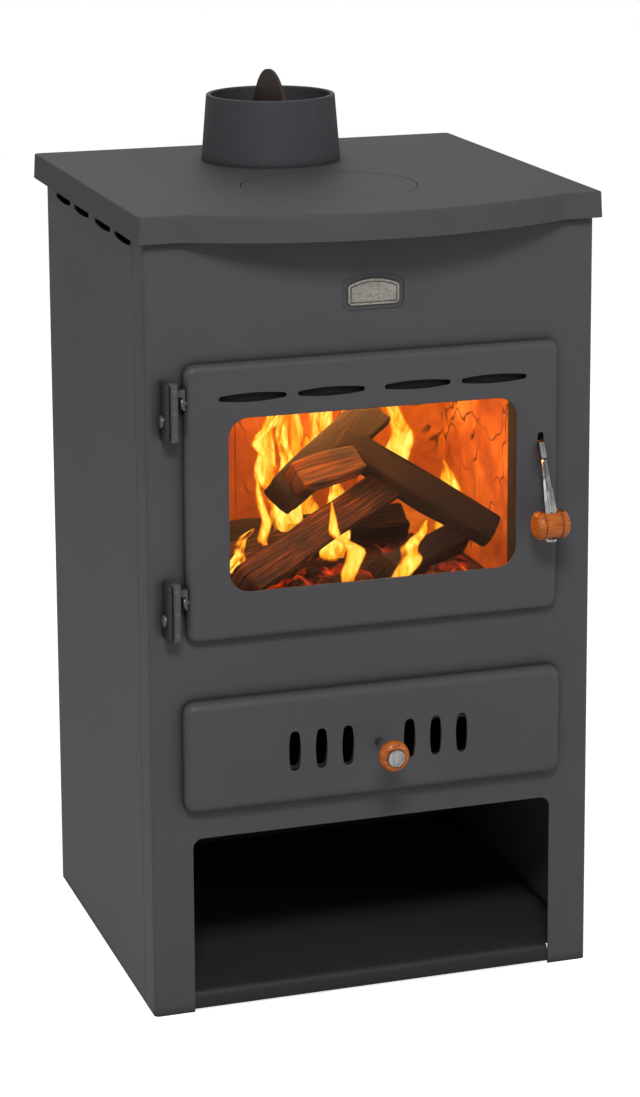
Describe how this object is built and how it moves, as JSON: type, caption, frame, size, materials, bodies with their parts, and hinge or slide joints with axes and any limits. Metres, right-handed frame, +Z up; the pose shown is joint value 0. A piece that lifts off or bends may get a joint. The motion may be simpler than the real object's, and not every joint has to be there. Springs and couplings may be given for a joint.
{
  "type": "boiler fireplace",
  "caption": "Upright steel wood stove with a water jacket, glazed fire door, ash drawer with air control, open log store, cast hob plate and top flue collar with damper.",
  "frame": {"origin": "on the floor, in the middle of the space that the whole stove takes up", "axes": "+X to the right as one faces the door, +Y towards the back, +Z up"},
  "size_m": [0.515, 0.5466, 0.9775],
  "materials": {
    "top_plate": "rough casting under anthracite paint",
    "flue_collar": "rough casting under anthracite paint",
    "flue_collar_bolts": "plated",
    "front_panel": "satin anthracite heat-resistant paint",
    "nameplate": "pewter-coloured, satin",
    "side_panel_left": "satin anthracite heat-resistant paint",
    "side_panel_right": "satin anthracite heat-resistant paint",
    "back_panel": "satin anthracite heat-resistant paint",
    "back_panel_screws": "plated",
    "base_plate": "matt black, sooted",
    "log_store_roof": "matt black, sooted",
    "liner_left": "matt black, sooted",
    "liner_right": "matt black, sooted",
    "hearth_plate": "matt black, sooted",
    "ash_pit_back": "matt black, sooted",
    "smoke_box_back": "matt black, sooted",
    "door_throat": "matt black, sooted",
    "boiler_jacket": "matt black, sooted",
    "return_socket": "bare sheet",
    "flow_socket": "bare sheet",
    "firebricks_left": "fireclay, rough",
    "firebricks_right": "fireclay, rough",
    "firebricks_rear": "fireclay, rough",
    "brick_rails": "matt black, sooted",
    "grate": "heat-stained casting",
    "baffle_plate": "heat-stained casting",
    "baffle_rails": "matt black, sooted",
    "drawer_runner_left": "matt black, sooted",
    "drawer_runner_right": "matt black, sooted",
    "hinge_tabs": "satin anthracite heat-resistant paint",
    "hinge_frame_leaves": "satin anthracite heat-resistant paint",
    "hinge_frame_screws": "plated",
    "hinge_pins": "satin anthracite heat-resistant paint",
    "hinge_washers": "plated",
    "latch_keeper": "matt black, sooted",
    "door_panel": "satin anthracite heat-resistant paint",
    "glass_gasket": "woven glass fibre rope",
    "window_glass": "ceramic glass, clear",
    "door_inner_frame": "matt black, sooted",
    "inner_frame_studs": "plated",
    "inner_frame_nuts": "plated",
    "door_seal": "woven glass fibre rope",
    "hinge_door_leaves": "satin anthracite heat-resistant paint",
    "hinge_door_screws": "plated",
    "latch_bracket": "plated",
    "latch_pin": "plated",
    "latch_lever": "polished",
    "handle_grip": "varnished",
    "handle_nut": "polished",
    "drawer_front": "satin anthracite heat-resistant paint",
    "ash_box": "matt black, sooted",
    "air_shutter": "matt black, sooted",
    "knob_stem": "polished",
    "shutter_nut": "plated",
    "knob_ring": "varnished",
    "knob_button": "polished",
    "hob_lid": "rough casting under anthracite paint",
    "damper_blade": "heat-stained casting",
    "damper_shaft": "heat-stained casting",
    "damper_handle": "heat-stained casting"
  },
  "bodies": {
    "casing": {"top_plate": "top_plate", "flue_collar": "flue_collar", "flue_collar_bolts": "flue_collar_bolts", "front_panel": "front_panel", "nameplate": "nameplate", "side_panel_left": "side_panel_left", "side_panel_right": "side_panel_right", "back_panel": "back_panel", "back_panel_screws": "back_panel_screws", "base_plate": "base_plate", "log_store_roof": "log_store_roof", "liner_left": "liner_left", "liner_right": "liner_right", "hearth_plate": "hearth_plate", "ash_pit_back": "ash_pit_back", "smoke_box_back": "smoke_box_back", "door_throat": "door_throat", "boiler_jacket": "boiler_jacket", "return_socket": "return_socket", "flow_socket": "flow_socket", "firebricks_left": "firebricks_left", "firebricks_right": "firebricks_right", "firebricks_rear": "firebricks_rear", "brick_rails": "brick_rails", "grate": "grate", "baffle_plate": "baffle_plate", "baffle_rails": "baffle_rails", "drawer_runner_left": "drawer_runner_left", "drawer_runner_right": "drawer_runner_right", "hinge_tabs": "hinge_tabs", "hinge_frame_leaves": "hinge_frame_leaves", "hinge_frame_screws": "hinge_frame_screws", "hinge_pins": "hinge_pins", "hinge_washers": "hinge_washers", "latch_keeper": "latch_keeper"},
    "door": {"door_panel": "door_panel", "glass_gasket": "glass_gasket", "window_glass": "window_glass", "door_inner_frame": "door_inner_frame", "inner_frame_studs": "inner_frame_studs", "inner_frame_nuts": "inner_frame_nuts", "door_seal": "door_seal", "hinge_door_leaves": "hinge_door_leaves", "hinge_door_screws": "hinge_door_screws", "latch_bracket": "latch_bracket", "latch_pin": "latch_pin"},
    "lever": {"latch_lever": "latch_lever", "handle_grip": "handle_grip", "handle_nut": "handle_nut"},
    "drawer": {"drawer_front": "drawer_front", "ash_box": "ash_box"},
    "air_control": {"air_shutter": "air_shutter", "knob_stem": "knob_stem", "shutter_nut": "shutter_nut", "knob_ring": "knob_ring", "knob_button": "knob_button"},
    "lid": {"hob_lid": "hob_lid"},
    "damper": {"damper_blade": "damper_blade", "damper_shaft": "damper_shaft", "damper_handle": "damper_handle"}
  },
  "joints": [
    {"name": "door_hinge", "type": "hinge", "parent": "casing", "child": "door", "pos_m": [-0.225, -0.21525, 0.5623], "axis": [0, 0, -1], "range_deg": [0, 120]},
    {"name": "latch_lift", "type": "hinge", "parent": "door", "child": "lever", "pos_m": [0.1855, -0.20375, 0.6], "axis": [-1, 0, 0], "range_deg": [0, 28]},
    {"name": "drawer_slide", "type": "slide", "parent": "casing", "child": "drawer", "axis": [0, -1, 0], "range_m": [0, 0.27]},
    {"name": "air_control_turn", "type": "hinge", "parent": "drawer", "child": "air_control", "pos_m": [0, -0.24825, 0.289], "axis": [0, 1, 0], "range_deg": [-3, 12]},
    {"name": "hob_lid_lift", "type": "slide", "parent": "casing", "child": "lid", "axis": [0, 0, 1], "range_m": [0, 0.08]},
    {"name": "flue_damper_turn", "type": "hinge", "parent": "casing", "child": "damper", "pos_m": [-0.008, 0.14175, 0.9125], "axis": [0, 1, 0], "range_deg": [0, 90]}
  ]
}
